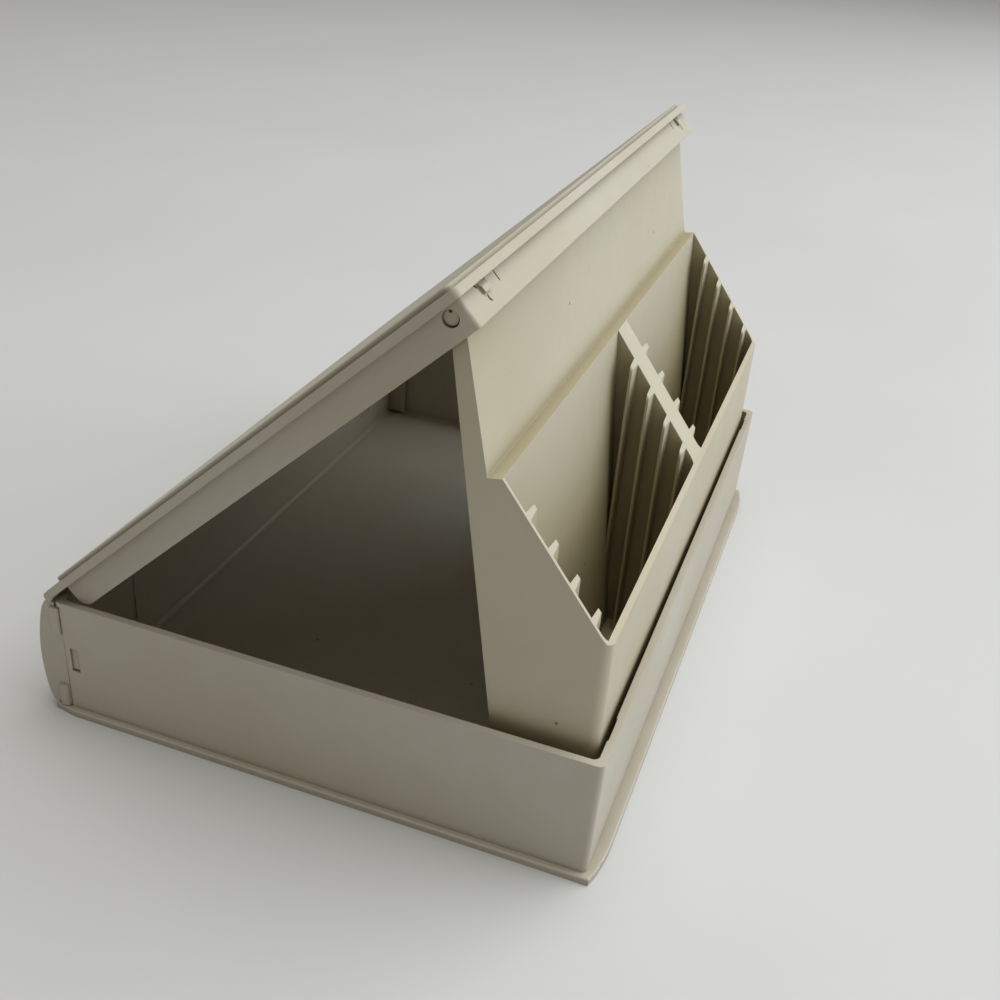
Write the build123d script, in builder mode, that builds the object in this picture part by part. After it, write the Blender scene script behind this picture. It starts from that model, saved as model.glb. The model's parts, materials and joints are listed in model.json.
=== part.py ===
"""Book-style case for 3.5 inch floppy disks, standing open as a display stand.

A shallow tray lies on a bottom board, and a convex spine cover closes its back like
the spine of a book. The lid is hinged at the top of the spine. A two-bay disk bin
hangs from the lid's front corners on two moulded studs and stands on the tray floor,
so it props the lid open. All sizes are in millimetres. X runs across the case, the
front faces -Y, Z is up, and the origin is under the middle of the bounding box.
"""

from build123d import *
from math import asin, atan2, cos, degrees, hypot, radians, sin, sqrt, tan
import os

# Case
case_width = 212.0
case_depth = 150.0
rim_height = 36.7
wall = 2.0
floor_thickness = 1.6
draft = 0.76
corner_radius = 1.6
cove_radius = 1.2
running_gap = 0.3

# Bottom board
board_thickness = 2.0
board_side = 1.2
board_front = 2.8
board_rear = 3.3
board_corner = 14.0
board_bow = 2.1

# Spine cover
spine_depth = 6.6
spine_wall = 1.8
spine_top_depth = 3.6
spine_foot_depth = 4.6
spine_bulge_height = 17.0
spine_foot_gap = 0.3
spine_end_wall = 1.5
spine_end_inset = 0.5
spine_end_reach = 1.5
tab_width = 2.9
tab_proud = 0.4
upper_tab = (26.3, 35.0)
lower_tab_top = 9.0
ear_reach = 9.4
ear_top = 23.0
ear_thickness = 1.4
snap_window = (3.3, 5.8, 14.8, 22.5)
snap_tooth_gap = 0.5
rear_window_width = 7.0
rear_window = (12.0, 28.0)
rear_window_inset = 27.5
hook_gap = 0.5
hook_thickness = 1.8
hook_lip = 1.4

# Lid hinge
hinge_back = 1.5
hinge_rise = 0.95
barrel_radius = 1.3
hinge_pin_radius = 0.65
hinge_bore_gap = 0.1
knuckle_inset = 6.0
knuckle_length = 8.0
knuckle_neck = 1.8
lid_angle = 44.0

# Lid
lid_front_set_back = 0.5
lid_seat = 0.8
lid_plate = 1.4
bead_height = 0.8
bead_width = 1.2
rear_bead_width = 3.9
groove = 0.6
panel_thickness = 2.0
panel_edge_radius = 0.5
skirt_depth = 7.3
skirt_thickness = 1.7
skirt_side_gap = 0.5
skirt_corner = 2.2
skirt_rear_top = 5.4
skirt_rear_foot = 9.0

# Latches
latch_inset = 14.5
catch_width = 4.2
catch_height = 2.8
catch_proud = 0.8
tongue_width = 5.2
tongue_slot = 0.5
tongue_slot_depth = 2.7
keeper_width = 8.8
keeper_relief = 0.3
keeper_slot = 1.0
keeper_height = 3.4

# Disk bin pivot
pivot_set_back = 4.2
pivot_below = 3.1
stud_radius = 1.8
stud_gap = 0.15

# Disk bin
bay_width = 93.0
divider_width = 11.4
bin_side_wall = 2.2
bin_wall = 1.9
bin_back = 1.47
bin_top_radius = 2.3
panel_top_reach = 1.75
panel_foot_reach = 3.6
ledge_drop = 36.3
ledge_reach = 7.1
lip_drop = 75.5
lip_reach = 28.4
foot_reach = 19.8
foot_front_gap = 1.2
bin_corner = 3.6
pocket_top = 5.0
rib_count = 4
rib_pitch = 5.75
rib_first = 2.6
rib_root = 1.7
rib_depth = 3.8
rib_taper = 6.5
overcut = 1.0

# Places worked out from the sizes above
tray_rear = (case_depth + board_front + spine_depth) / 2 - spine_depth
tray_front = tray_rear - case_depth
tray_middle = (tray_rear + tray_front) / 2
floor_top = board_thickness + floor_thickness
hinge_y = tray_rear + hinge_back
hinge_z = rim_height + hinge_rise
lid_length = case_depth + hinge_back - lid_front_set_back
skirt_front = case_depth - wall + hinge_back - running_gap
pivot_along = skirt_front - pivot_set_back
pivot_y = hinge_y - pivot_along * cos(radians(lid_angle)) - pivot_below * sin(radians(lid_angle))
pivot_z = hinge_z + pivot_along * sin(radians(lid_angle)) - pivot_below * cos(radians(lid_angle))

# The bin's foot stands just clear of the tray floor, just behind the tray's front wall.
foot_z = floor_top + running_gap
foot_forward = pivot_y - (tray_front + wall + foot_front_gap)
foot_fall = pivot_z - foot_z
foot_distance = hypot(foot_forward, foot_fall)
foot_drop = sqrt(foot_distance**2 - foot_reach**2)
bin_lean = degrees(atan2(foot_forward, foot_fall) - asin(foot_reach / foot_distance))
front_angle = degrees(atan2(lip_reach - foot_reach, foot_drop - lip_drop))
bin_half = bay_width + divider_width / 2 + bin_side_wall


def leaning_plane(y, z, lean):
    """A plane across the case at (y, z) whose own z leans back from upright."""
    return Plane(origin=(0, y, z), x_dir=(1, 0, 0), z_dir=(0, sin(radians(lean)), cos(radians(lean))))


def side_plane(base, x):
    """The upright plane at x whose own x runs to the rear of base and own y runs up."""
    return Plane(origin=base.from_local_coords((x, 0, 0)), x_dir=base.y_dir, z_dir=base.x_dir)


spine_plane = leaning_plane(tray_rear, 0, 0)
lid_plane = leaning_plane(hinge_y, hinge_z, lid_angle)
bin_plane = leaning_plane(pivot_y, pivot_z, bin_lean)


def tray_outline(height, inset):
    """The tray's outline at a height, moved in from its drafted outer face."""
    shrink = 2 * (tan(radians(draft)) * (rim_height - height) + inset)
    with BuildSketch(Plane.XY.offset(height)) as outline:
        with Locations((0, tray_middle)):
            RectangleRounded(case_width - shrink, case_depth - shrink, corner_radius)
    return outline.sketch


def tray_half_width(height):
    """Half the outer width of the drafted tray at a height."""
    return case_width / 2 - tan(radians(draft)) * (rim_height - height)


def side_block(base, x_from, x_to, rear_from, rear_to, low, high):
    """A block given by its reach across, rearwards and upwards on a base plane."""
    with BuildSketch(side_plane(base, x_from)) as face:
        with Locations(((rear_from + rear_to) / 2, (low + high) / 2)):
            Rectangle(abs(rear_to - rear_from), abs(high - low))
    return extrude(face.sketch, amount=x_to - x_from, mode=Mode.PRIVATE)


def side_profile(base, x, points):
    """A closed outline on a side plane, from points given as rearward and upward."""
    with BuildSketch(side_plane(base, x)) as outline:
        with BuildLine():
            Polyline(*points, close=True)
        make_face()
    return outline.sketch


# Bottom board
with BuildPart() as base_board:
    with BuildSketch():
        half = case_width / 2 + board_side
        front = tray_front - board_front
        rear = tray_rear + board_rear
        with BuildLine():
            Line((-half + board_corner, front), (half - board_corner, front))
            TangentArc((half - board_corner, front), (half, front + board_bow), tangent=(1, 0))
            Line((half, front + board_bow), (half, tray_rear - board_rear))
            Line((half, tray_rear - board_rear), (half - board_side, rear))
            Line((half - board_side, rear), (-half + board_side, rear))
            Line((-half + board_side, rear), (-half, tray_rear - board_rear))
            Line((-half, tray_rear - board_rear), (-half, front + board_bow))
            TangentArc((-half + board_corner, front), (-half, front + board_bow), tangent=(-1, 0))
        make_face()
    extrude(amount=board_thickness)
    fillet(base_board.faces().sort_by(Axis.Z)[-1].edges(), radius=panel_edge_radius)

# Tray
with BuildPart() as base_tray:
    loft([tray_outline(board_thickness, 0), tray_outline(rim_height, 0)])
    loft([tray_outline(floor_top, wall), tray_outline(rim_height, wall)], mode=Mode.SUBTRACT)
    fillet(base_tray.faces().filter_by(Axis.Z).sort_by(Axis.Z)[1].edges(), radius=cove_radius)
    for side in (-1, 1):
        # Keeper of the lid's latch in the front wall: a lead-in over a deeper slot
        keeper_middle = side * (case_width / 2 - latch_inset + tongue_slot)
        keeper_face = tray_front + wall
        with Locations((keeper_middle, keeper_face, rim_height)):
            Box(keeper_width, 2 * keeper_relief, 2 * keeper_height, mode=Mode.SUBTRACT)
        with Locations((keeper_middle, keeper_face, rim_height - keeper_height)):
            Box(keeper_width - 2 * wall, 2 * keeper_slot, keeper_height / 2, mode=Mode.SUBTRACT)
        # Windows for the spine cover's hooks, snap teeth and ears
        with Locations((side * (case_width / 2 - rear_window_inset), tray_rear, sum(rear_window) / 2)):
            Box(rear_window_width, 4 * wall, rear_window[1] - rear_window[0], mode=Mode.SUBTRACT)
        outer = side * case_width / 2
        snap_from, snap_to, snap_low, snap_high = snap_window
        add(
            side_block(spine_plane, outer - side * 2 * wall, outer + side * overcut, -snap_to, -snap_from,
                       snap_low, snap_high),
            mode=Mode.SUBTRACT,
        )
        ear_face = side * (tray_half_width(ear_top) - wall)
        add(
            side_block(spine_plane, ear_face - side * (ear_thickness + 2 * running_gap), ear_face,
                       -wall - overcut, overcut, floor_top, ear_top + running_gap),
            mode=Mode.SUBTRACT,
        )
        # Corner notch that takes the end of the spine cover, under the rim
        notch_face = outer - side * (wall + spine_end_inset / 2)
        add(
            side_block(spine_plane, notch_face, outer + side * overcut, -spine_end_reach - running_gap,
                       overcut, board_thickness, upper_tab[1] + running_gap),
            mode=Mode.SUBTRACT,
        )
base_tray.part.label = "base_tray"
base_board.part.label = "base_board"

# Spine cover
spine_foot = board_thickness + spine_foot_gap
spine_top = hinge_z - barrel_radius - running_gap
spine_end = case_width / 2 - spine_end_inset


def crescent(x, inset):
    """The spine's bulging section, moved in from its outer face."""
    with BuildSketch(side_plane(spine_plane, x)) as section:
        with BuildLine():
            low = spine_foot + inset
            high = spine_top - inset
            bulge = ThreePointArc(
                (spine_foot_depth - inset, low),
                (spine_depth - inset, spine_bulge_height),
                (spine_top_depth - inset, high),
            )
            Polyline(bulge @ 1, (running_gap - inset, high), (running_gap - inset, low), bulge @ 0)
        make_face()
    return section.sketch


with BuildPart() as spine_cover:
    extrude(crescent(-spine_end, 0), amount=2 * spine_end)
    fillet(spine_cover.edges().filter_by(GeomType.CIRCLE), radius=spine_wall * 0.7)
    hollow = spine_end - spine_end_wall
    extrude(crescent(-hollow, spine_wall), amount=2 * hollow, mode=Mode.SUBTRACT)
    for side in (-1, 1):
        end = side * spine_end
        inner = side * (spine_end - spine_end_wall)
        add(side_block(spine_plane, inner, end, -spine_end_reach, spine_wall, spine_foot, upper_tab[1]))
        tab_front = running_gap - spine_end_reach
        for low, high in (upper_tab, (spine_foot, lower_tab_top)):
            add(side_block(spine_plane, inner, end + side * tab_proud, tab_front, tab_front + tab_width, low, high))
        # Ear with its snap tooth, inside the tray's side wall
        ear_outer = side * (tray_half_width(spine_foot) - wall - running_gap)
        ear_inner = ear_outer - side * ear_thickness
        ear_low = floor_top + cove_radius
        root_depth = spine_depth - spine_wall
        add(side_block(spine_plane, ear_inner, ear_outer, -ear_reach, root_depth, ear_low, ear_top))
        snap_from, snap_to, snap_low, snap_high = snap_window
        add(
            side_block(spine_plane, ear_inner, ear_outer + side * wall, -snap_to + snap_tooth_gap, -snap_from,
                       snap_low + snap_tooth_gap, snap_high - snap_tooth_gap)
        )
        # Hook through the rear wall's window
        hook_middle = side * (case_width / 2 - rear_window_inset)
        hook_top = rear_window[1] - running_gap
        hook_left = hook_middle - rear_window_width / 2 + hook_gap
        hook_right = hook_middle + rear_window_width / 2 - hook_gap
        hook_inner = -wall - running_gap
        hook_low = hook_top - hook_thickness
        add(side_block(spine_plane, hook_left, hook_right, hook_inner - hook_thickness, root_depth,
                       hook_low, hook_top))
        add(side_block(spine_plane, hook_left, hook_right, hook_inner - hook_thickness, hook_inner,
                       hook_low, hook_top + hook_lip))
        # Knuckle that carries the lid
        knuckle_x = side * (case_width / 2 - knuckle_inset - knuckle_length / 2)
        add(side_block(spine_plane, knuckle_x - knuckle_length / 2, knuckle_x + knuckle_length / 2,
                       hinge_back - knuckle_neck / 2, hinge_back + knuckle_neck / 2,
                       spine_top - spine_wall / 2, hinge_z))
        with BuildSketch(side_plane(spine_plane, knuckle_x)):
            with Locations((hinge_back, hinge_z)):
                Circle(barrel_radius)
        extrude(amount=knuckle_length / 2, both=True)
        with BuildSketch(side_plane(spine_plane, knuckle_x)):
            with Locations((hinge_back, hinge_z)):
                Circle(hinge_pin_radius + hinge_bore_gap)
        extrude(amount=knuckle_length / 2, both=True, mode=Mode.SUBTRACT)
spine_cover.part.label = "spine_cover"

# Lid frame
plate_low = -lid_seat
plate_top = lid_plate - lid_seat
skirt_half = case_width / 2 - wall - skirt_side_gap
skirt_low = plate_low - skirt_depth
panel_width = case_width - 2 * (bead_width + groove)
panel_from = rear_bead_width + groove
panel_to = lid_length - bead_width - groove


def lid_rectangle(height, half_width, along_from, along_to, radius):
    """A rounded rectangle in the lid's plane, given along the lid from the hinge."""
    with BuildSketch(lid_plane.offset(height)) as outline:
        with Locations((0, -(along_from + along_to) / 2)):
            RectangleRounded(2 * half_width, along_to - along_from, radius)
    return outline.sketch


with BuildPart() as lid_frame:
    extrude(lid_rectangle(plate_low, case_width / 2, 0, lid_length, corner_radius), amount=lid_plate)
    extrude(lid_rectangle(plate_top, case_width / 2, 0, lid_length, corner_radius), amount=bead_height)
    extrude(
        lid_rectangle(plate_top, panel_width / 2 + groove, rear_bead_width, lid_length - bead_width, corner_radius),
        amount=bead_height,
        mode=Mode.SUBTRACT,
    )
    # Skirts inside the tray walls, sloped at their rear ends
    extrude(lid_rectangle(skirt_low, skirt_half, -skirt_depth, skirt_front, skirt_corner), amount=skirt_depth)
    extrude(
        lid_rectangle(skirt_low, skirt_half - skirt_thickness, -2 * skirt_depth,
                      skirt_front - skirt_thickness, skirt_corner / 2),
        amount=skirt_depth,
        mode=Mode.SUBTRACT,
    )
    rear_slope = [
        (2 * skirt_depth, plate_low),
        (-skirt_rear_top, plate_low),
        (-skirt_rear_foot, skirt_low - overcut),
        (2 * skirt_depth, skirt_low - overcut),
    ]
    extrude(side_profile(lid_plane, -case_width, rear_slope), amount=2 * case_width, mode=Mode.SUBTRACT)
    # Hinge barrel, with a gap for each knuckle and a stud on each side of it
    with BuildSketch(side_plane(lid_plane, -case_width / 2)):
        Circle(barrel_radius)
    extrude(amount=case_width)
    for side in (-1, 1):
        knuckle_x = side * (case_width / 2 - knuckle_inset - knuckle_length / 2)
        gap_half = knuckle_length / 2 + running_gap
        gap_reach = barrel_radius + running_gap
        add(
            side_block(lid_plane, knuckle_x - gap_half, knuckle_x + gap_half, -gap_reach, gap_reach,
                       -gap_reach, gap_reach),
            mode=Mode.SUBTRACT,
        )
        for turn in (-1, 1):
            with BuildSketch(side_plane(lid_plane, knuckle_x + turn * (gap_half + hinge_pin_radius))):
                Circle(hinge_pin_radius)
            extrude(amount=-turn * knuckle_length * 0.45)
        # Pivot hole of the disk bin
        with BuildSketch(side_plane(lid_plane, side * (skirt_half + overcut))):
            with Locations((-pivot_along, -pivot_below)):
                Circle(stud_radius + stud_gap)
        extrude(amount=-side * 2 * (skirt_thickness + overcut), mode=Mode.SUBTRACT)
        # Latch: a catch on the front skirt beside a tongue cut free by two slots
        latch_x = side * (case_width / 2 - latch_inset)
        slot_low = plate_low - tongue_slot_depth
        for cut_x in (latch_x, latch_x - side * (tongue_width + tongue_slot)):
            add(
                side_block(lid_plane, cut_x - tongue_slot / 2, cut_x + tongue_slot / 2, -skirt_front - overcut,
                           -skirt_front + 2 * skirt_thickness, slot_low, plate_low),
                mode=Mode.SUBTRACT,
            )
        catch_x = latch_x + side * tongue_slot / 2
        catch = [
            (-skirt_front + skirt_thickness / 2, plate_low),
            (-skirt_front - catch_proud, plate_low - catch_height / 2),
            (-skirt_front - catch_proud, plate_low - catch_height),
            (-skirt_front + skirt_thickness / 2, plate_low - catch_height),
        ]
        extrude(side_profile(lid_plane, catch_x, catch), amount=side * catch_width)
lid_frame.part.label = "lid_frame"

# Cover board let into the lid frame
with BuildPart() as lid_panel:
    extrude(lid_rectangle(plate_top, panel_width / 2, panel_from, panel_to, corner_radius), amount=panel_thickness)
    top_edges = lid_panel.faces().sort_by(Axis((0, 0, 0), lid_plane.z_dir))[-1].edges()
    fillet(top_edges, radius=panel_edge_radius)
lid_panel.part.label = "lid_panel"

# Disk bin, in its own plane: reach is forward from the pivot, drop is down from it
foot_slope = tan(radians(bin_lean))
back_foot_drop = foot_drop - (foot_reach + bin_back) * foot_slope
lip = (-lip_reach, -lip_drop)
lip_wall = bin_wall / cos(radians(front_angle))
edge_slope = (lip_drop - ledge_drop) / (lip_reach - ledge_reach)
front_slope = (lip_reach - foot_reach) / (foot_drop - lip_drop)


def front_reach(drop):
    """How far forward the front wall's outer face stands at a drop."""
    return lip_reach - (drop - lip_drop) * front_slope


def bay_points(top_wall, extra):
    """The corners of a bay's section, with its slanted mouth and its floor lowered."""
    floor_drop = foot_drop - floor_rise
    rear_floor = (-(bin_wall - bin_back), -(back_foot_drop - floor_rise + extra))
    mouth_front = lip_reach - lip_wall
    mouth_drop = lip_drop - lip_wall * edge_slope + top_wall
    front_floor = (-(front_reach(floor_drop + extra) - lip_wall), -(floor_drop + extra))
    return [(-ledge_reach, -(ledge_drop + top_wall)), (-mouth_front, -mouth_drop), front_floor, rear_floor]


floor_rise = bin_wall / cos(radians(bin_lean))

with BuildPart() as disk_bin:
    with BuildSketch(side_plane(bin_plane, -bin_half)):
        with BuildLine():
            crown = ThreePointArc(
                (bin_back, sqrt(bin_top_radius**2 - bin_back**2)),
                (0, bin_top_radius),
                (-panel_top_reach, sqrt(bin_top_radius**2 - panel_top_reach**2)),
            )
            Polyline(
                crown @ 1,
                (-panel_foot_reach, -ledge_drop),
                (-ledge_reach, -ledge_drop),
                lip,
                (-foot_reach, -foot_drop),
                (bin_back, -back_foot_drop),
                crown @ 0,
            )
        make_face()
    extrude(amount=2 * bin_half)
    front_faces = disk_bin.faces().sort_by(Axis((0, 0, 0), -bin_plane.y_dir))
    fillet(front_faces[-1].edges().filter_by(Axis.X, reverse=True), radius=bin_corner)
    # Recess behind the panel and the bays' rear wall, between the side walls
    pocket_half = bin_half - bin_side_wall
    panel_lean = (panel_foot_reach - panel_top_reach) / ledge_drop
    pocket = [
        (bin_back + overcut, -pocket_top),
        (bin_wall - panel_top_reach - panel_lean * pocket_top, -pocket_top),
        (bin_wall - panel_foot_reach, -ledge_drop - bin_wall),
        (bin_wall - ledge_reach, -ledge_drop - bin_wall),
        (bin_back, -back_foot_drop + floor_rise),
        (bin_back + overcut, -back_foot_drop + floor_rise),
    ]
    extrude(side_profile(bin_plane, -pocket_half, pocket), amount=2 * pocket_half, mode=Mode.SUBTRACT)
    for side in (-1, 1):
        inner = side * divider_width / 2
        outer = inner + side * bay_width
        extrude(side_profile(bin_plane, inner, bay_points(0, 0)), amount=side * bay_width, mode=Mode.SUBTRACT)
        # Ribs on both side walls of the bay, tapered towards their free ends
        for wall_x, way in ((inner, side), (outer, -side)):
            with BuildSketch(side_plane(bin_plane, wall_x)) as ribs:
                for index in range(rib_count):
                    set_back = rib_first + index * rib_pitch + lip_wall
                    with Locations((-lip_reach + set_back, -lip_drop)):
                        Rectangle(rib_root, 2 * foot_drop, rotation=front_angle)
                with BuildLine():
                    Polyline(*bay_points(0, 0), close=True)
                make_face(mode=Mode.INTERSECT)
            extrude(amount=way * rib_depth, taper=rib_taper)
        # Pivot stud
        with BuildSketch(side_plane(bin_plane, side * (bin_half - bin_side_wall / 2))):
            Circle(stud_radius)
        extrude(amount=side * (skirt_half - stud_gap - bin_half + bin_side_wall / 2))
    # The divider is cored out from below
    core_half = divider_width / 2 - bin_wall
    core = side_profile(bin_plane, -core_half, bay_points(bin_wall * 1.8, 2 * bin_wall))
    extrude(core, amount=2 * core_half, mode=Mode.SUBTRACT)
disk_bin.part.label = "disk_bin"

os.makedirs("parts", exist_ok=True)
for piece in (base_board, base_tray, spine_cover, lid_frame, lid_panel, disk_bin):
    export_step(piece.part, f"parts/{piece.part.label}.step")
print("lean of the bin:", round(bin_lean, 2), "front wall angle:", round(front_angle, 2))
print("hinge at y, z:", round(hinge_y, 3), round(hinge_z, 3))
print("pivot at y, z:", round(pivot_y, 3), round(pivot_z, 3))
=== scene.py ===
"""The look of the floppy disk case: aged ivory plastic under soft daylight."""
import json
from math import asin, atan2, cos, degrees, hypot, pi, radians, sin, sqrt, tan

import bmesh
import bpy
from mathutils import Euler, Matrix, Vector


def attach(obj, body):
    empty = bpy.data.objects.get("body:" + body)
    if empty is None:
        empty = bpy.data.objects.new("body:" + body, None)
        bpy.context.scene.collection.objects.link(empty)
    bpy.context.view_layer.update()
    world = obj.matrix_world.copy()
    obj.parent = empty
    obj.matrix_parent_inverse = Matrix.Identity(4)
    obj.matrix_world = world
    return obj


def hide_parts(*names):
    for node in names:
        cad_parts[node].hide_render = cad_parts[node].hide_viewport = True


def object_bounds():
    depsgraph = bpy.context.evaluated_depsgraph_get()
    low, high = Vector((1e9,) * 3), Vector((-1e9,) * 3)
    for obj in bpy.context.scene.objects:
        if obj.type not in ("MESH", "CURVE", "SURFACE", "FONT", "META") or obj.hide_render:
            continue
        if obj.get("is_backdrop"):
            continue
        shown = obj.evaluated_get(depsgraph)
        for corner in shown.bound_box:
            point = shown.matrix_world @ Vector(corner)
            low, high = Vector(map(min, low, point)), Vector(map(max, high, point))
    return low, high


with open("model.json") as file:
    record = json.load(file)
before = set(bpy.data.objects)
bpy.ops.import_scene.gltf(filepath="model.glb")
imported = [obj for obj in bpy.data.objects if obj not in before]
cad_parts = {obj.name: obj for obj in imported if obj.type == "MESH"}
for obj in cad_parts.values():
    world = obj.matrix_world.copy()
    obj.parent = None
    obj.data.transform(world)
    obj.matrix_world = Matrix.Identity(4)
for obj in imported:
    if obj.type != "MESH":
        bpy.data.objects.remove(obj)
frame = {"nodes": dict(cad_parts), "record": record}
cad_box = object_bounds()

# Camera, fitted to the photograph
CAMERA_PLACE = (-0.3096, -0.1096, 0.2224)
CAMERA_TURN = (59.973, -4.432, -70.162)
CAMERA_LENS = 42.47
CAMERA_SENSOR = 36.0
CAMERA_NEAR = 0.01

# Stage
FLOOR_SIZE = 6.0
FLOOR_COLOUR = (0.68, 0.69, 0.70)
FLOOR_SHADE = 0.965
FLOOR_ROUGHNESS = 0.55

# Light
WINDOW_PLACE = (0.75, -1.2, 1.1)
WINDOW_SIZE = 2.2
WINDOW_POWER = 28.5
WINDOW_COLOUR = (0.95, 0.98, 1.0)
CEILING_PLACE = (0.05, -0.05, 1.9)
CEILING_SIZE = 1.3
CEILING_POWER = 16.0
CEILING_COLOUR = (1.0, 0.98, 0.94)
SKY_COLOUR = (1.0, 0.94, 0.83)
SKY_STRENGTH = 0.22
LAMP_AIM = (0.0, 0.0, 0.05)

# Meshes: shapes are worked out in millimetres and made in metres
MM_PER_METRE = 1000.0
MERGE_REACH = 1e-6

# Case, in millimetres, as in the CAD part
CASE_WIDTH = 212.0
CASE_DEPTH = 150.0
WALL = 2.0
FLOOR_TOP = 3.6
RUNNING_GAP = 0.3
TRAY_REAR = 73.1
TRAY_FRONT = TRAY_REAR - CASE_DEPTH
HINGE_BACK = 1.5
HINGE_Y = TRAY_REAR + HINGE_BACK
HINGE_Z = 37.65
LID_ANGLE = 44.0
SKIRT_FRONT = CASE_DEPTH - WALL + HINGE_BACK - RUNNING_GAP
SKIRT_HALF = CASE_WIDTH / 2 - WALL - 0.5
PIVOT_ALONG = SKIRT_FRONT - 4.2
PIVOT_BELOW = 3.1
OVERCUT = 1.0
HAIR = 0.03

# Spine cover
SPINE_DEPTH = 6.6
SPINE_WALL = 1.8
SPINE_TOP_DEPTH = 3.6
SPINE_FOOT_DEPTH = 4.6
SPINE_BULGE_HEIGHT = 17.0
SPINE_FOOT = 2.3
SPINE_END = CASE_WIDTH / 2 - 0.5
SPINE_END_WALL = 1.5
SPINE_END_REACH = 1.5
SPINE_EDGE_ROUND = 1.2
SPINE_ROOT_SHARE = 0.85
FOOT_EASE = (0.3, 0.25)
TOP_EASE = (0.25, 0.35)
TAB_WIDTH = 2.9
TAB_PROUD = 0.9
TAB_ROUND = 0.8
UPPER_TAB = (26.3, 34.7)
LOWER_TAB = (SPINE_FOOT, 9.0)
EAR_REACH = 9.4
EAR_LOW = 4.8
EAR_TOP = 23.0
EAR_OUTER = 103.2
EAR_THICKNESS = 1.4
TOOTH = (3.3, 5.3, 15.3, 22.0)
WINDOW_MIDDLE = CASE_WIDTH / 2 - 27.5
WINDOW_HALF = 3.5
WINDOW_LOW = 12.0
WINDOW_TOP = 28.0
HOOK_GAP = 0.06
KNUCKLE_MIDDLE = CASE_WIDTH / 2 - 10.0
KNUCKLE_LENGTH = 8.0
KNUCKLE_NECK = 1.8
BARREL_RADIUS = 1.3
PIN_RADIUS = 0.65
PIN_SHARE = 0.45
FINE_STEPS = 24
BORE_GAP = 0.1

# Lid frame and its latches
LID_LENGTH = CASE_DEPTH + HINGE_BACK - 0.5
LID_LOW = -0.8
LID_PLATE = 0.6
BEAD_TOP = 1.4
BEAD_WIDTH = 1.2
REAR_BEAD_WIDTH = 2.1
LID_CORNER = 1.6
SKIRT_LOW = -8.1
SKIRT_THICKNESS = 1.7
SKIRT_CORNER = 1.0
SKIRT_REAR = 5.4
SKIRT_REAR_ROUND = 3.2
SKIRT_BITE = 0.4
BEHIND_REACH = 16.0
PIVOT_HOLE = 1.95
PIVOT_HOLE_DROP = 0.125
LATCH_INSET = 16.2
TONGUE_WIDTH = 5.6
TONGUE_SLOT = 0.5
TONGUE_SLOT_DEPTH = 2.7
CATCH_REACH = 6.1
CATCH_WIDTH = 3.8
CATCH_PEAK = 1.3
CATCH_HEIGHT = 2.7
CATCH_PROUD = 0.8
RELIEF_WIDTH = 1.6
RELIEF_PLACE = (2.6, 4.75)
RELIEF_HEIGHT = 1.8
RELIEF_DEPTH = 1.0
RELIEF_HOOK = (0.4, 0.1)

# Disk bin, in millimetres, in its own plane: reach is forward from the pivot, drop is down
BAY_WIDTH = 95.1
DIVIDER_WIDTH = 9.1
BIN_SIDE_WALL = 1.0
BIN_WALL = 1.3
BIN_BACK_WALL = 1.9
BIN_BACK = 1.47
CROWN_RADIUS = 2.3
PANEL_TOP_REACH = 1.75
PANEL_FOOT_REACH = 3.6
LEDGE = (7.1, 36.3)
MOUTH = (28.47, 75.42)
LIP = (29.68, 76.08)
FOOT_REACH = 19.8
FOOT_FRONT_GAP = 1.2
BIN_CORNER = 3.0
POCKET_TOP = 5.0
RIB_COUNT = 4
RIB_PITCH = 5.85
RIB_FIRST = 3.85
RIB_ROOT = 1.3
RIB_DEPTH = 5.5
RIB_TAPER = 3.0
RIB_ROUND = 0.9
STUD_RADIUS = 1.7
STUD_END_INSET = 0.5
STUD_NOTCH = 0.7
BLOCK_EDGE = 0.05

# Plastic: colour where it is clean, where it has yellowed, and the painted shade colour for deep inside
PLASTICS = {
    "body_plastic": ((0.57, 0.55, 0.48), (0.51, 0.47, 0.37), (0.50, 0.46, 0.37)),
    "lid_plastic": ((0.54, 0.52, 0.44), (0.49, 0.45, 0.35), (0.48, 0.44, 0.34)),
    "bin_plastic": ((0.57, 0.54, 0.43), (0.53, 0.48, 0.35), (0.39, 0.33, 0.17)),
}
# Painted shade colour for recesses, a dark brown
RECESS_SHADE = (0.16, 0.125, 0.075)
# Lighter edge colour: partly wear, partly a painted highlight
EDGE_WEAR_AND_HIGHLIGHT = (0.74, 0.71, 0.62)
SPECK = (0.06, 0.045, 0.03)
EDGE_RADIUS = 0.0003
SMOOTH_ANGLE = 30.0
RECESS_REACH = 0.006
CAVITY_REACH = 0.06
CAVITY_SAMPLES = 6
EDGE_SAMPLES = 4

# Detail of the plastic: pitches in cycles per metre, height in metres
PATCH_PITCH = 11.0
MOTTLE_PITCH = 130.0
BREAKUP_PITCH = 60.0
SPECK_PITCH = 160.0
STREAK_PITCH = 95.0
GLOSS_PITCH = 45.0
GRAIN_PITCH = 2400.0
GRAIN_STRENGTH = 0.10
SCRATCH_STRENGTH = 0.05
GRAIN_HEIGHT = 0.0002
PLASTIC_IOR = 1.5
PLASTIC_SPECULAR = 0.42
GLOSS = (0.40, 0.56)
SCRATCH_ROUGHNESS = 0.12


def add_node(tree, kind, place, settings=None, **values):
    """A shader node at a place in the editor, with its settings and its sockets' values."""
    node = tree.nodes.new(kind)
    node.location = place
    for name, value in (settings or {}).items():
        setattr(node, name, value)
    for name, value in values.items():
        node.inputs[name].default_value = value
    return node


def ramp(tree, place, source, stops):
    """A grey level from a value, through (position, level) stops."""
    node = add_node(tree, "ShaderNodeValToRGB", place)
    elements = node.color_ramp.elements
    while len(elements) < len(stops):
        elements.new(0.5)
    for element, (position, level) in zip(elements, stops):
        element.position = position
        element.color = (level, level, level, 1.0)
    tree.links.new(source, node.inputs["Fac"])
    return node.outputs["Color"]


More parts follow.
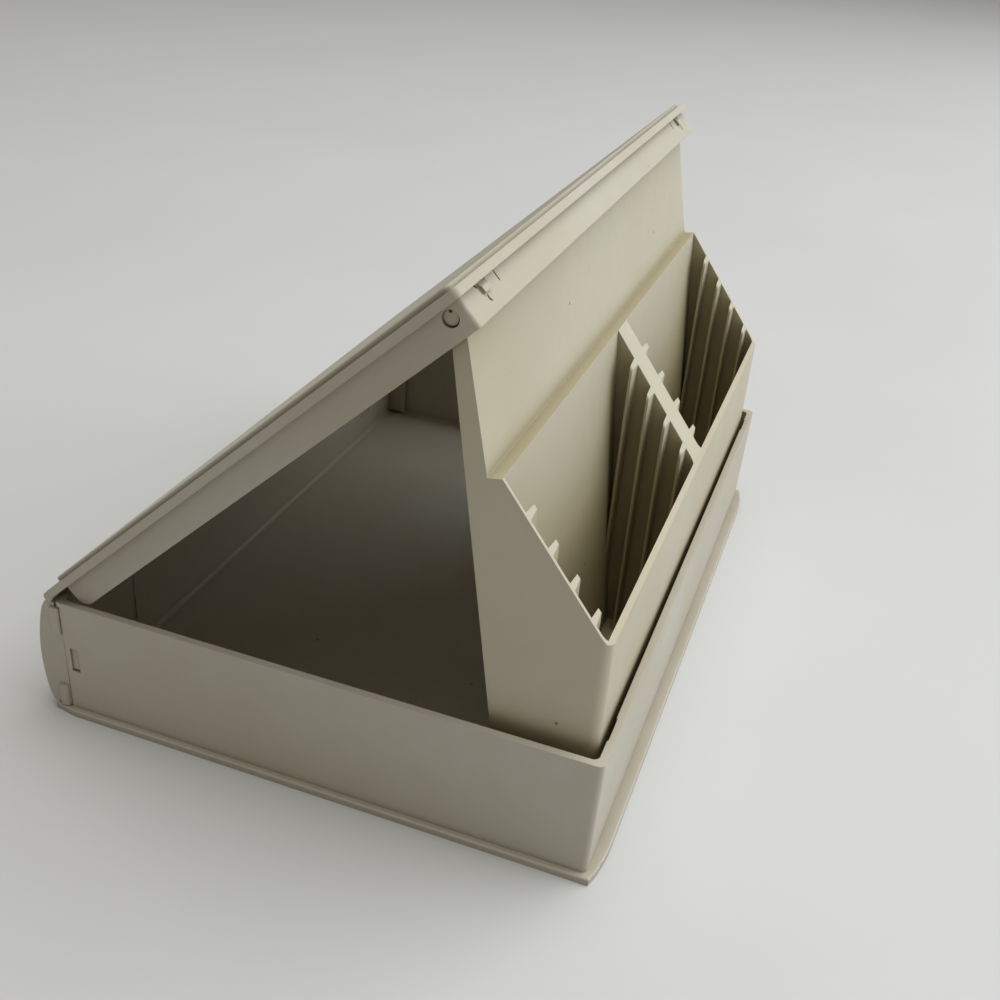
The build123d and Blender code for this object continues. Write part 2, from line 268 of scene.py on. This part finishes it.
def times(tree, place, first, second):
    """The product of two values, the second a socket or a number."""
    node = add_node(tree, "ShaderNodeMath", place, {"operation": "MULTIPLY"})
    tree.links.new(first, node.inputs[0])
    if isinstance(second, float):
        node.inputs[1].default_value = second
    else:
        tree.links.new(second, node.inputs[1])
    return node.outputs[0]


def noise(tree, place, vector, scale, detail=3.0, roughness=0.55):
    """Noise at a scale in cycles per metre."""
    node = add_node(tree, "ShaderNodeTexNoise", place, Scale=scale, Detail=detail, Roughness=roughness)
    tree.links.new(vector, node.inputs["Vector"])
    return node.outputs["Fac"]


def blend(tree, place, share, under, over):
    """Two colours mixed by a share; each is a socket or a colour."""
    node = add_node(tree, "ShaderNodeMix", place, {"data_type": "RGBA"})
    factor = [socket for socket in node.inputs if socket.name == "Factor" and socket.type == "VALUE"][0]
    colours = [socket for socket in node.inputs if socket.type == "RGBA"]
    tree.links.new(share, factor)
    for socket, colour in zip(colours, (under, over)):
        if isinstance(colour, tuple):
            socket.default_value = (*colour, 1.0)
        else:
            tree.links.new(colour, socket)
    return [socket for socket in node.outputs if socket.type == "RGBA"][0]


def moulded_plastic(name, clean, yellowed, painted_shade):
    """Old ivory plastic: mottled yellowing, painted shade deep inside and in recesses, lighter edges that are
    partly wear and partly a painted highlight, scuffs, specks and mould grain.
    """
    material = bpy.data.materials.new(name)
    material.use_nodes = True
    tree = material.node_tree
    tree.nodes.clear()
    link = tree.links.new
    output = add_node(tree, "ShaderNodeOutputMaterial", (1500, 0))
    shader = add_node(tree, "ShaderNodeBsdfPrincipled", (1200, 0))
    shader.inputs["IOR"].default_value = PLASTIC_IOR
    shader.inputs["Specular IOR Level"].default_value = PLASTIC_SPECULAR
    link(shader.outputs["BSDF"], output.inputs["Surface"])
    spot = add_node(tree, "ShaderNodeTexCoord", (-1600, 0)).outputs["Object"]

    # Yellowing in large soft patches and in a finer mottle
    cloudy = noise(tree, (-1300, 600), spot, PATCH_PITCH, 4.0)
    patches = ramp(tree, (-1100, 600), cloudy, ((0.38, 0.0), (0.66, 1.0)))
    speckled = noise(tree, (-1300, 400), spot, MOTTLE_PITCH, 5.0)
    mottle = ramp(tree, (-1100, 400), speckled, ((0.30, 0.0), (0.75, 0.5)))
    colour = blend(tree, (-700, 600), patches, clean, yellowed)
    colour = blend(tree, (-500, 500), mottle, colour, yellowed)

    # Painted shade: a darker tone deep inside the bays and the tray, where little light reaches
    cavity = add_node(tree, "ShaderNodeAmbientOcclusion", (-1300, 280), {"samples": CAVITY_SAMPLES},
                      Distance=CAVITY_REACH)
    inward_shade = ramp(tree, (-1100, 280), cavity.outputs["AO"], ((0.40, 0.75), (0.97, 0.0)))
    colour = blend(tree, (-400, 480), inward_shade, colour, painted_shade)

    # Painted shade where the surfaces close in, broken up by a smeary noise
    recess = add_node(tree, "ShaderNodeAmbientOcclusion", (-1300, 150), {"samples": CAVITY_SAMPLES},
                      Distance=RECESS_REACH)
    recess_shade_mask = ramp(tree, (-1100, 150), recess.outputs["AO"], ((0.25, 0.55), (0.85, 0.0)))
    shade_breakup = ramp(tree, (-1100, 0), noise(tree, (-1300, 0), spot, BREAKUP_PITCH, 4.0), ((0.25, 0.45), (0.70, 1.0)))
    colour = blend(tree, (-300, 400), times(tree, (-800, 100), recess_shade_mask, shade_breakup), colour, RECESS_SHADE)

    # Lighter edges, partly wear and partly a painted highlight: where the rounded normal leaves the flat one
    rounded = add_node(tree, "ShaderNodeBevel", (-1300, -250), {"samples": EDGE_SAMPLES}, Radius=EDGE_RADIUS)
    flat = add_node(tree, "ShaderNodeNewGeometry", (-1300, -400))
    turn = add_node(tree, "ShaderNodeVectorMath", (-1050, -300), {"operation": "DOT_PRODUCT"})
    link(rounded.outputs["Normal"], turn.inputs[0])
    link(flat.outputs["Normal"], turn.inputs[1])
    wear_and_highlight = ramp(tree, (-850, -300), turn.outputs["Value"], ((0.82, 0.5), (0.985, 0.0)))
    colour = blend(tree, (-100, 300), wear_and_highlight, colour, EDGE_WEAR_AND_HIGHLIGHT)

    # Sparse dark specks
    cells = add_node(tree, "ShaderNodeTexVoronoi", (-1300, -600), Scale=SPECK_PITCH)
    link(spot, cells.inputs["Vector"])
    dot = ramp(tree, (-1050, -550), cells.outputs["Distance"], ((0.05, 1.0), (0.09, 0.0)))
    chosen = ramp(tree, (-1050, -700), cells.outputs["Color"], ((0.80, 0.0), (0.82, 0.7)))
    colour = blend(tree, (100, 200), times(tree, (-800, -600), dot, chosen), colour, SPECK)
    link(colour, shader.inputs["Base Color"])

    # Fine scratches, stretched along the surface, and patches of rubbed gloss
    stretch = add_node(tree, "ShaderNodeMapping", (-1500, -900), Scale=(1.0, 14.0, 9.0), Rotation=(0.2, 0.5, 0.9))
    link(spot, stretch.inputs["Vector"])
    streaky = noise(tree, (-1300, -900), stretch.outputs["Vector"], STREAK_PITCH, 6.0, 0.7)
    streaks = ramp(tree, (-1050, -900), streaky, ((0.62, 0.0), (0.72, 1.0)))
    gloss = add_node(tree, "ShaderNodeMapRange", (-800, -900))
    gloss.inputs["To Min"].default_value, gloss.inputs["To Max"].default_value = GLOSS
    link(noise(tree, (-1300, -1100), spot, GLOSS_PITCH, 5.0, 0.6), gloss.inputs["Value"])
    rough = add_node(tree, "ShaderNodeMath", (-500, -900), {"operation": "MULTIPLY_ADD"})
    rough.inputs[1].default_value = SCRATCH_ROUGHNESS
    link(streaks, rough.inputs[0])
    link(gloss.outputs["Result"], rough.inputs[2])
    link(rough.outputs[0], shader.inputs["Roughness"])

    # Mould grain and scratches as relief over the rounded edges
    grain = add_node(tree, "ShaderNodeBump", (800, -400), Strength=GRAIN_STRENGTH, Distance=GRAIN_HEIGHT)
    link(noise(tree, (500, -500), spot, GRAIN_PITCH, 3.0, 0.6), grain.inputs["Height"])
    link(rounded.outputs["Normal"], grain.inputs["Normal"])
    scratch = add_node(tree, "ShaderNodeBump", (1000, -400), {"invert": True}, Strength=SCRATCH_STRENGTH,
                       Distance=GRAIN_HEIGHT)
    link(streaks, scratch.inputs["Height"])
    link(grain.outputs["Normal"], scratch.inputs["Normal"])
    link(scratch.outputs["Normal"], shader.inputs["Normal"])
    return material


def leaning(y, z, lean):
    """A place on a plane that leans back at (y, z), from across, rearward and upward in millimetres."""
    turn = radians(lean)

    def place(across, rear, up):
        far, high = y + rear * cos(turn) + up * sin(turn), z - rear * sin(turn) + up * cos(turn)
        return Vector((across, far, high)) / MM_PER_METRE

    return place


def leaning_from(plane, point, lean):
    """A plane of another lean, from a point given by its reach and drop on the first plane."""
    reach, drop = point
    return leaning(*(value * MM_PER_METRE for value in plane(0, -reach, -drop).yz), lean)


def rising(start, end):
    """Two places in rising order."""
    return min(start, end), max(start, end)


def arc(start, middle, end, steps=10):
    """Points on the circle from start through middle to end."""
    (ax, ay), (bx, by), (cx, cy) = start, middle, end
    spread = 2.0 * (ax * (by - cy) + bx * (cy - ay) + cx * (ay - by))
    a, b, c = ax * ax + ay * ay, bx * bx + by * by, cx * cx + cy * cy
    ux = (a * (by - cy) + b * (cy - ay) + c * (ay - by)) / spread
    uy = (a * (cx - bx) + b * (ax - cx) + c * (bx - ax)) / spread
    turns = [atan2(y - uy, x - ux) for x, y in (start, middle, end)]
    sweep = sum((last - first + pi) % (2 * pi) - pi for first, last in zip(turns, turns[1:]))
    radius = hypot(ax - ux, ay - uy)
    angles = [turns[0] + sweep * step / steps for step in range(steps + 1)]
    return [(ux + radius * cos(angle), uy + radius * sin(angle)) for angle in angles]


def rounded_box(x_low, x_high, y_low, y_high, radius, steps=6):
    """The outline of a rectangle with round corners."""
    points = []
    corners = ((x_high - radius, y_high - radius), (x_low + radius, y_high - radius),
               (x_low + radius, y_low + radius), (x_high - radius, y_low + radius))
    for quarter, (x, y) in enumerate(corners):
        for step in range(steps + 1):
            angle = radians(90.0 * (quarter + step / steps))
            points.append((x + radius * cos(angle), y + radius * sin(angle)))
    return points


def circle(x, y, radius, steps=40):
    """The outline of a circle, as many straight steps."""
    angles = [2 * pi * step / steps for step in range(steps)]
    return [(x + radius * cos(angle), y + radius * sin(angle)) for angle in angles]


def solid(name, place, axis, start, end, first, last=None):
    """A closed piece between two outlines, run across (axis 0), rearward (1) or upward (2)."""
    def ring(outline, level):
        for point in outline:
            spot = list(point)
            spot.insert(axis, level)
            yield shape.verts.new(place(*spot))

    shape = bmesh.new()
    near = list(ring(first, start))
    far = list(ring(last or first, end))
    shape.faces.new(near)
    shape.faces.new(far)
    for one, two, three, four in zip(near, near[1:] + near[:1], far[1:] + far[:1], far):
        shape.faces.new((one, two, three, four))
    bmesh.ops.recalc_face_normals(shape, faces=shape.faces)
    mesh = bpy.data.meshes.new(name)
    shape.to_mesh(mesh)
    shape.free()
    piece = bpy.data.objects.new(name, mesh)
    bpy.context.scene.collection.objects.link(piece)
    return piece


def block(plane, across, rear, up):
    """A block with eased edges between two places across, two rearward and two up."""
    return solid("block", plane, 0, *rising(*across), rounded_box(*rising(*rear), *rising(*up), BLOCK_EDGE, 1))


def combine(piece, operation, tools):
    """Join the tools to a piece, cut it with them or keep what they share, and remove them."""
    for tool in tools:
        step = piece.modifiers.new(operation, "BOOLEAN")
        step.operation = operation
        step.solver = "MANIFOLD"
        step.object = tool
    bpy.context.view_layer.update()
    made = bpy.data.meshes.new_from_object(piece.evaluated_get(bpy.context.evaluated_depsgraph_get()))
    piece.modifiers.clear()
    rough = piece.data
    piece.data = made
    bpy.data.meshes.remove(rough)
    for tool in tools:
        mesh = tool.data
        bpy.data.objects.remove(tool)
        bpy.data.meshes.remove(mesh)
    return piece


def finish_piece(piece, body, node, material):
    """Clean the mesh, shade it smooth, give it its plastic and let it stand for its CAD node."""
    shape = bmesh.new()
    shape.from_mesh(piece.data)
    bmesh.ops.remove_doubles(shape, verts=shape.verts, dist=MERGE_REACH)
    bmesh.ops.dissolve_degenerate(shape, edges=shape.edges, dist=MERGE_REACH)
    shape.to_mesh(piece.data)
    shape.free()
    piece.data.shade_smooth()
    piece.data.set_sharp_from_angle(angle=radians(SMOOTH_ANGLE))
    piece.data.materials.clear()
    piece.data.materials.append(material)
    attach(piece, body)
    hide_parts(node)


def mould_rib(wall_at, way, middle, foot_drop, bay, planes):
    """A tapered rib on a bay's wall, cut to the bay's section and rounded at the mouth."""
    plane, upright, mouth = planes
    root, tip = wall_at - way * BIN_SIDE_WALL / 2, wall_at + way * RIB_DEPTH
    narrow = RIB_ROOT - 2 * RIB_DEPTH * tan(radians(RIB_TAPER))
    section = [(root, middle - RIB_ROOT / 2), (wall_at, middle - RIB_ROOT / 2), (tip, middle - narrow / 2),
               (tip, middle + narrow / 2), (wall_at, middle + RIB_ROOT / 2), (root, middle + RIB_ROOT / 2)]
    rib = solid("rib", upright, 2, -foot_drop, foot_drop, section)
    low, high = rising(root, tip)
    combine(rib, "INTERSECT", [solid("bay", plane, 0, low - OVERCUT, high + OVERCUT, bay)])
    bend = tip - way * RIB_ROUND
    eased = (bend + way * RIB_ROUND * sin(pi / 4), RIB_ROUND * (cos(pi / 4) - 1))
    waste = [*arc((tip, -RIB_ROUND), eased, (bend, 0.0)), (bend, OVERCUT),
             (tip + way * OVERCUT, OVERCUT), (tip + way * OVERCUT, -RIB_ROUND)]
    combine(rib, "DIFFERENCE", [solid("waste", mouth, 1, -LIP[1], 2 * LIP[1], waste)])
    return rib


def mould_stud(plane, start, end):
    """A pivot stud with a small notch in its end."""
    stud = solid("stud", plane, 0, *rising(start, end), circle(0, 0, STUD_RADIUS))
    notch = rounded_box(-STUD_NOTCH / 2, STUD_NOTCH / 2, STUD_RADIUS - STUD_NOTCH, STUD_RADIUS + STUD_NOTCH,
                        BLOCK_EDGE, 1)
    combine(stud, "DIFFERENCE", [solid("notch", plane, 0, end - STUD_NOTCH, end + STUD_NOTCH, notch)])
    return stud


def mould_bin(material):
    """The two-bay disk bin with thin walls, tapered ribs and the studs that it hangs from."""
    pivot_y = HINGE_Y - PIVOT_ALONG * cos(radians(LID_ANGLE)) - PIVOT_BELOW * sin(radians(LID_ANGLE))
    pivot_z = HINGE_Z + PIVOT_ALONG * sin(radians(LID_ANGLE)) - PIVOT_BELOW * cos(radians(LID_ANGLE))
    forward = pivot_y - (TRAY_FRONT + WALL + FOOT_FRONT_GAP)
    fall = pivot_z - FLOOR_TOP - RUNNING_GAP
    distance = hypot(forward, fall)
    foot_drop = sqrt(distance**2 - FOOT_REACH**2)
    lean = degrees(atan2(forward, fall) - asin(FOOT_REACH / distance))
    plane = leaning(pivot_y, pivot_z, lean)
    half = BAY_WIDTH + DIVIDER_WIDTH / 2 + BIN_SIDE_WALL
    slope = (LIP[0] - FOOT_REACH) / (foot_drop - LIP[1])
    front_angle = degrees(atan2(LIP[0] - FOOT_REACH, foot_drop - LIP[1]))
    upright = leaning_from(plane, LIP, lean - front_angle)
    mouth = leaning_from(plane, MOUTH, lean - degrees(atan2(MOUTH[1] - LEDGE[1], MOUTH[0] - LEDGE[0])))

    def front_reach(drop):
        """How far forward the front wall's outside is at a drop."""
        return LIP[0] - (drop - LIP[1]) * slope

    # A bay's section: its slanted mouth, front wall, floor and rear wall
    lip_wall = front_reach(MOUTH[1]) - MOUTH[0]
    back_foot_drop = foot_drop - (FOOT_REACH + BIN_BACK) * tan(radians(lean))
    floor_rise = BIN_WALL / cos(radians(lean))
    floor_drop = foot_drop - floor_rise
    bay = [
        (-LEDGE[0], -LEDGE[1]),
        (-MOUTH[0], -MOUTH[1]),
        (-(front_reach(floor_drop) - lip_wall), -floor_drop),
        (BIN_BACK - BIN_BACK_WALL, -back_foot_drop + floor_rise),
    ]

    # The outside, with round front corners, the open mouth and the recess behind the panel
    crown = arc(
        (BIN_BACK, sqrt(CROWN_RADIUS**2 - BIN_BACK**2)),
        (0.0, CROWN_RADIUS),
        (-PANEL_TOP_REACH, sqrt(CROWN_RADIUS**2 - PANEL_TOP_REACH**2)),
    )
    outline = [*crown, (-PANEL_FOOT_REACH, -LEDGE[1]), (-front_reach(LEDGE[1]), -LEDGE[1]),
               (-FOOT_REACH, -foot_drop), (BIN_BACK, -back_foot_drop)]
    disk_bin = solid("moulded_bin", plane, 0, -half, half, outline)
    rounded = rounded_box(-half, half, 0, 3 * LIP[1], BIN_CORNER)
    combine(disk_bin, "INTERSECT", [solid("corners", upright, 2, -2 * foot_drop, 2 * foot_drop, rounded)])
    above = [(-LEDGE[0], OVERCUT), (-LEDGE[0], -LEDGE[1]), (-MOUTH[0], -MOUTH[1]), (-LIP[0], -LIP[1]),
             (-2 * LIP[0], -LIP[1]), (-2 * LIP[0], OVERCUT)]
    panel_lean = (PANEL_FOOT_REACH - PANEL_TOP_REACH) / LEDGE[1]
    pocket = [
        (BIN_BACK + OVERCUT, -POCKET_TOP),
        (BIN_BACK_WALL - PANEL_TOP_REACH - panel_lean * POCKET_TOP, -POCKET_TOP),
        (BIN_BACK_WALL - PANEL_FOOT_REACH, -LEDGE[1] - BIN_BACK_WALL),
        (BIN_BACK_WALL - LEDGE[0], -LEDGE[1] - BIN_BACK_WALL),
        (BIN_BACK, -back_foot_drop + floor_rise),
        (BIN_BACK + OVERCUT, -back_foot_drop + floor_rise),
    ]
    inside = half - BIN_SIDE_WALL
    combine(disk_bin, "DIFFERENCE", [
        solid("above", plane, 0, -half - OVERCUT, half + OVERCUT, above),
        solid("pocket", plane, 0, -inside, inside, pocket),
    ])

    # The bays, then their ribs and the studs
    bays = [(side, side * DIVIDER_WIDTH / 2, side * DIVIDER_WIDTH / 2 + side * BAY_WIDTH) for side in (-1, 1)]
    open_bay = [(rear, up + OVERCUT) for rear, up in bay[:2]] + bay[2:]
    front_wall = lip_wall * cos(radians(front_angle))
    for _, inner, outer in bays:
        low, high = rising(inner, outer)
        hollow = solid("bay", plane, 0, low, high, open_bay)
        rounded = rounded_box(low, high, front_wall, 3 * LIP[1], BIN_CORNER - BIN_WALL)
        combine(hollow, "INTERSECT", [solid("corners", upright, 2, -2 * foot_drop, 2 * foot_drop, rounded)])
        combine(disk_bin, "DIFFERENCE", [hollow])
    for side, inner, outer in bays:
        for wall_at, way in ((inner, side), (outer, -side)):
            for index in range(RIB_COUNT):
                middle = (RIB_FIRST + index * RIB_PITCH + lip_wall) * cos(radians(front_angle))
                rib = mould_rib(wall_at, way, middle, foot_drop, bay, (plane, upright, mouth))
                combine(disk_bin, "UNION", [rib])
        stud = mould_stud(plane, side * (half - BIN_SIDE_WALL / 2), side * (SKIRT_HALF - STUD_END_INSET))
        combine(disk_bin, "UNION", [stud])
    finish_piece(disk_bin, "bin", "disk_bin", material)


def mould_spine(material):
    """The convex spine cover with its end plates, raised tabs, ears, hooks and knuckles."""
    plane = leaning(TRAY_REAR, 0.0, 0.0)
    top = HINGE_Z - BARREL_RADIUS - RUNNING_GAP

    def crescent(inset):
        """The bulging section, moved in from its outer face, with its outer corners eased."""
        ease = max(SPINE_EDGE_ROUND - inset, 0.0)
        bulge = arc((SPINE_FOOT_DEPTH - inset, SPINE_FOOT + inset), (SPINE_DEPTH - inset, SPINE_BULGE_HEIGHT),
                    (SPINE_TOP_DEPTH - inset, top - inset), FINE_STEPS)
        if ease:
            low, high = bulge[0], bulge[-1]
            bulge = [
                (low[0] - ease, low[1]),
                (low[0] - FOOT_EASE[0] * ease, low[1] + FOOT_EASE[1] * ease),
                *bulge[2:-2],
                (high[0] - TOP_EASE[0] * ease, high[1] - TOP_EASE[1] * ease),
                (high[0] - ease, high[1]),
            ]
        return [(RUNNING_GAP - inset, SPINE_FOOT + inset), *bulge, (RUNNING_GAP - inset, top - inset)]

    cover = solid("moulded_spine", plane, 0, -SPINE_END, SPINE_END, crescent(0.0))
    hollow = SPINE_END - SPINE_END_WALL
    combine(cover, "DIFFERENCE", [solid("hollow", plane, 0, -hollow, hollow, crescent(SPINE_WALL))])
    root = SPINE_DEPTH - SPINE_ROOT_SHARE * SPINE_WALL
    for side in (-1, 1):
        inner, end = side * hollow, side * SPINE_END
        added = [block(plane, (inner, end), (-SPINE_END_REACH, SPINE_WALL), (SPINE_FOOT, UPPER_TAB[1]))]
        tab_front = RUNNING_GAP - SPINE_END_REACH
        for low, high in (UPPER_TAB, LOWER_TAB):
            across = rising(inner, end + side * TAB_PROUD)
            outline = rounded_box(*across, tab_front, tab_front + TAB_WIDTH, TAB_ROUND, 4)
            added.append(solid("tab", plane, 2, low, high, outline))
        ear = (side * (EAR_OUTER - EAR_THICKNESS), side * EAR_OUTER)
        added.append(block(plane, ear, (-EAR_REACH, root), (EAR_LOW, EAR_TOP)))
        added.append(block(plane, (ear[0], ear[1] + side * WALL), (-TOOTH[1], -TOOTH[0]), TOOTH[2:]))
        hook = (side * WINDOW_MIDDLE - WINDOW_HALF + HOOK_GAP, side * WINDOW_MIDDLE + WINDOW_HALF - HOOK_GAP)
        added.append(block(plane, hook, (HOOK_GAP - WALL, root), (WINDOW_LOW + HOOK_GAP, WINDOW_TOP - HOOK_GAP)))
        middle = side * KNUCKLE_MIDDLE
        knuckle = (middle - KNUCKLE_LENGTH / 2, middle + KNUCKLE_LENGTH / 2)
        neck = (HINGE_BACK - KNUCKLE_NECK / 2, HINGE_BACK + KNUCKLE_NECK / 2)
        added.append(block(plane, knuckle, neck, (top - SPINE_WALL / 2, HINGE_Z)))
        added.append(solid("knuckle", plane, 0, *knuckle, circle(HINGE_BACK, HINGE_Z, BARREL_RADIUS)))
        combine(cover, "UNION", added)
        bore = circle(HINGE_BACK, HINGE_Z, PIN_RADIUS + BORE_GAP, FINE_STEPS)
        combine(cover, "DIFFERENCE", [solid("bore", plane, 0, knuckle[0] - OVERCUT, knuckle[1] + OVERCUT, bore)])
    finish_piece(cover, "base", "spine_cover", material)


def latch_tools(plane, side):
    """A snap latch: the cuts that free its tongue and relieve its corner, and its catch."""
    latch, front = side * (CASE_WIDTH / 2 - LATCH_INSET), -SKIRT_FRONT
    through = (front - 2 * OVERCUT, front + SKIRT_THICKNESS + OVERCUT)
    top = LID_LOW + HAIR
    cuts = []
    for middle in (latch, latch - side * TONGUE_WIDTH):
        slot = (middle - TONGUE_SLOT / 2, middle + TONGUE_SLOT / 2)
        cuts.append(block(plane, slot, through, (LID_LOW - TONGUE_SLOT_DEPTH, top)))
    outer, inner = latch + side * CATCH_REACH, latch + side * TONGUE_SLOT
    corner = [(outer - side * CATCH_PEAK, top), (outer, top), (outer - side * CATCH_PEAK, LID_LOW - CATCH_PEAK)]
    cuts.append(solid("corner", plane, 1, *through, corner))
    across, up = latch + side * RELIEF_PLACE[0], -RELIEF_PLACE[1]
    upper = (across, up + RELIEF_HEIGHT / 2)
    lower = (across - side * RELIEF_HOOK[0], up - RELIEF_HEIGHT / 2)
    hook = [*arc(upper, (across + side * RELIEF_WIDTH / 2, up), lower, 8),
            *arc(lower, (across + side * RELIEF_HOOK[1], up), upper, 8)[1:-1]]
    cuts.append(solid("relief", plane, 1, through[0], front + RELIEF_DEPTH, hook))
    root = front + SKIRT_THICKNESS / 2
    wedge = [(root, LID_LOW - HAIR), (front, LID_LOW - HAIR), (front - CATCH_PROUD, LID_LOW - CATCH_PEAK),
             (front - CATCH_PROUD, LID_LOW - CATCH_HEIGHT), (root, LID_LOW - CATCH_HEIGHT)]
    return cuts, solid("catch", plane, 0, *rising(inner, inner + side * CATCH_WIDTH), wedge)


def mould_lid(material):
    """The lid frame with its bead, skirts, hinge barrel and snap latches."""
    plane = leaning(HINGE_Y, HINGE_Z, LID_ANGLE)
    half = CASE_WIDTH / 2

    def slab(name, half_width, along, radius, up):
        """A rounded rectangle between two places along the lid from the hinge and two heights."""
        outline = rounded_box(-half_width, half_width, -along[1], -along[0], radius)
        return solid(name, plane, 2, *up, outline)

    # The plate with its bead, and the skirts, cut open behind
    lid_frame = slab("moulded_lid", half, (0, LID_LENGTH), LID_CORNER, (LID_LOW, BEAD_TOP))
    within = (REAR_BEAD_WIDTH, LID_LENGTH - BEAD_WIDTH)
    recess = slab("recess", half - BEAD_WIDTH, within, LID_CORNER, (LID_PLATE, 2 * BEAD_TOP))
    combine(lid_frame, "DIFFERENCE", [recess])
    skirt = slab("skirt", SKIRT_HALF, (SKIRT_LOW, SKIRT_FRONT), SKIRT_CORNER, (SKIRT_LOW, LID_LOW + SKIRT_BITE))
    bend = SKIRT_REAR_ROUND * (1 - cos(radians(45)))
    end = -SKIRT_REAR - SKIRT_REAR_ROUND
    rear_round = arc((-SKIRT_REAR, SKIRT_LOW + SKIRT_REAR_ROUND), (-SKIRT_REAR - bend, SKIRT_LOW + bend),
                     (end, SKIRT_LOW))
    behind = [*rear_round, (end, SKIRT_LOW - OVERCUT), (BEHIND_REACH, SKIRT_LOW - OVERCUT),
              (BEHIND_REACH, OVERCUT), (-SKIRT_REAR, OVERCUT)]
    within = (2 * SKIRT_LOW, SKIRT_FRONT - SKIRT_THICKNESS)
    combine(skirt, "DIFFERENCE", [
        slab("inside", SKIRT_HALF - SKIRT_THICKNESS, within, SKIRT_CORNER / 2, (SKIRT_LOW - OVERCUT, OVERCUT)),
        solid("behind", plane, 0, -half, half, behind),
    ])
    barrel = solid("barrel", plane, 0, -half + HAIR, half - HAIR, circle(0, 0, BARREL_RADIUS))
    combine(lid_frame, "UNION", [skirt, barrel])

    # The knuckle gaps with their pins, the pivot holes and the latches
    gap_half = KNUCKLE_LENGTH / 2 + RUNNING_GAP
    gap = (-BARREL_RADIUS - RUNNING_GAP, BARREL_RADIUS + RUNNING_GAP)
    hole = circle(-PIVOT_ALONG, -PIVOT_BELOW - PIVOT_HOLE_DROP, PIVOT_HOLE)
    for side in (-1, 1):
        middle = side * KNUCKLE_MIDDLE
        wall = rising(side * (SKIRT_HALF - SKIRT_THICKNESS - OVERCUT), side * (SKIRT_HALF + OVERCUT))
        latch_cuts, catch = latch_tools(plane, side)
        combine(lid_frame, "DIFFERENCE", [
            block(plane, (middle - gap_half, middle + gap_half), gap, gap),
            solid("pivot_hole", plane, 0, *wall, hole),
            *latch_cuts,
        ])
        added = [catch]
        for turn in (-1, 1):
            root = middle + turn * (gap_half + PIN_RADIUS)
            pin = rising(root, root - turn * PIN_SHARE * KNUCKLE_LENGTH)
            added.append(solid("pin", plane, 0, *pin, circle(0, 0, PIN_RADIUS, FINE_STEPS)))
        combine(lid_frame, "UNION", added)
    finish_piece(lid_frame, "lid", "lid_frame", material)


def dress_nodes():
    """Give each CAD node its material slot's plastic, and mould the finer pieces over their nodes."""
    made = {slot: moulded_plastic(slot, *colours) for slot, colours in PLASTICS.items()}
    mould_spine(made["body_plastic"])
    mould_lid(made["lid_plastic"])
    mould_bin(made["bin_plastic"])
    slots = {row["node"]: row["material_slot"] for row in frame["record"]["subparts"]}
    for name, node in frame["nodes"].items():
        node.data.materials.clear()
        node.data.materials.append(made[slots[name]])


def floor_paper():
    """Pale matt paper with a faint cloudiness."""
    material = bpy.data.materials.new("stage_floor")
    material.use_nodes = True
    tree = material.node_tree
    shader = tree.nodes["Principled BSDF"]
    shader.inputs["Roughness"].default_value = FLOOR_ROUGHNESS
    spot = add_node(tree, "ShaderNodeTexCoord", (-900, 0)).outputs["Object"]
    clouds = ramp(tree, (-500, 0), noise(tree, (-700, 0), spot, 5.0, 4.0), ((0.3, 0.0), (0.7, 1.0)))
    darker = tuple(level * FLOOR_SHADE for level in FLOOR_COLOUR)
    tree.links.new(blend(tree, (-300, 0), clouds, darker, FLOOR_COLOUR), shader.inputs["Base Color"])
    return material


def build_stage():
    """The pale surface that the case stands on."""
    reach = FLOOR_SIZE / 2
    mesh = bpy.data.meshes.new("floor")
    corners = [(-reach, -reach, 0), (reach, -reach, 0), (reach, reach, 0), (-reach, reach, 0)]
    mesh.from_pydata(corners, [], [(0, 1, 2, 3)])
    mesh.materials.append(floor_paper())
    floor = bpy.data.objects.new("floor", mesh)
    bpy.context.scene.collection.objects.link(floor)
    floor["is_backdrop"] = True


def soft_lamp(name, place, size, power, colour):
    """A square area lamp that faces the case."""
    lamp = bpy.data.lights.new(name, "AREA")
    lamp.shape = "SQUARE"
    lamp.size = size
    lamp.energy = power
    lamp.color = colour
    holder = bpy.data.objects.new(name, lamp)
    holder.location = place
    aim = Vector(LAMP_AIM) - Vector(place)
    holder.rotation_euler = aim.to_track_quat("-Z", "Y").to_euler()
    bpy.context.scene.collection.objects.link(holder)


def light_scene():
    """Soft daylight from a window in front and to the right, a soft ceiling light and a dim warm sky."""
    soft_lamp("window", WINDOW_PLACE, WINDOW_SIZE, WINDOW_POWER, WINDOW_COLOUR)
    soft_lamp("ceiling", CEILING_PLACE, CEILING_SIZE, CEILING_POWER, CEILING_COLOUR)
    world = bpy.data.worlds.new("sky")
    bpy.context.scene.world = world
    world.use_nodes = True
    background = world.node_tree.nodes["Background"]
    background.inputs["Color"].default_value = (*SKY_COLOUR, 1.0)
    background.inputs["Strength"].default_value = SKY_STRENGTH


def place_camera():
    """The camera at the photograph's viewing place and angle."""
    data = bpy.data.cameras.new("camera")
    data.lens = CAMERA_LENS
    data.sensor_width = CAMERA_SENSOR
    data.clip_start = CAMERA_NEAR
    camera = bpy.data.objects.new("camera", data)
    camera.location = CAMERA_PLACE
    camera.rotation_euler = Euler([radians(turn) for turn in CAMERA_TURN], "XYZ")
    bpy.context.scene.collection.objects.link(camera)
    bpy.context.scene.camera = camera


bpy.context.scene.view_settings.view_transform = "Standard"
dress_nodes()
build_stage()
light_scene()
place_camera()

boxes = {"cad": cad_box, "visual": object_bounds()}
{name: [list(corner) for corner in box] for name, box in boxes.items()}
